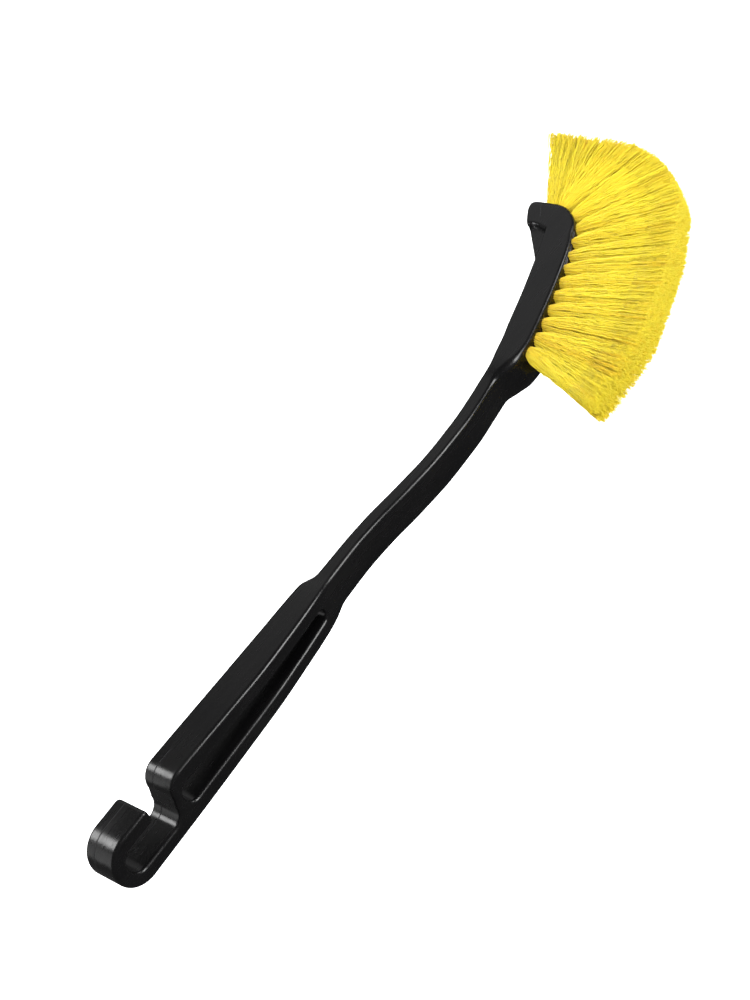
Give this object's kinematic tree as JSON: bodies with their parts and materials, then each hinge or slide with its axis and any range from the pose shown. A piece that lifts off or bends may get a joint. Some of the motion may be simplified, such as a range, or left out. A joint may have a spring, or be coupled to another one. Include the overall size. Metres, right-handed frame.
{
  "type": "wheel brush",
  "caption": "Hand-held wheel-cleaning brush: moulded slotted handle with a hanging hook and a tilted head of soft drilled-in bristle tufts that fan over its tip.",
  "frame": {"origin": "axis of the hook's round throat, on the handle's flat back plane", "axes": "+X along the handle from the hook to the head, +Z the bristle side and along the hook throat's axis, +Y towards the side on which the hook opens"},
  "size_m": [0.4539, 0.0272, 0.1396],
  "materials": {
    "black_plastic": "satin moulded polypropylene",
    "yellow_bristle": "soft flagged filament",
    "steel_wire": "flat wire"
  },
  "bodies": {
    "root": {"handle": "black_plastic", "tuft_heel": "yellow_bristle", "tuft_1_left": "yellow_bristle", "tuft_2_left": "yellow_bristle", "tuft_3_left": "yellow_bristle", "tuft_4_left": "yellow_bristle", "tuft_5_left": "yellow_bristle", "tuft_6_left": "yellow_bristle", "tuft_7_left": "yellow_bristle", "tuft_8_left": "yellow_bristle", "tuft_9_left": "yellow_bristle", "tuft_10_left": "yellow_bristle", "tuft_11_left": "yellow_bristle", "tuft_1_right": "yellow_bristle", "tuft_2_right": "yellow_bristle", "tuft_3_right": "yellow_bristle", "tuft_4_right": "yellow_bristle", "tuft_5_right": "yellow_bristle", "tuft_6_right": "yellow_bristle", "tuft_7_right": "yellow_bristle", "tuft_8_right": "yellow_bristle", "tuft_9_right": "yellow_bristle", "tuft_10_right": "yellow_bristle", "tuft_11_right": "yellow_bristle", "tuft_crown": "yellow_bristle", "tuft_staples": "steel_wire"}
  },
  "joints": []
}
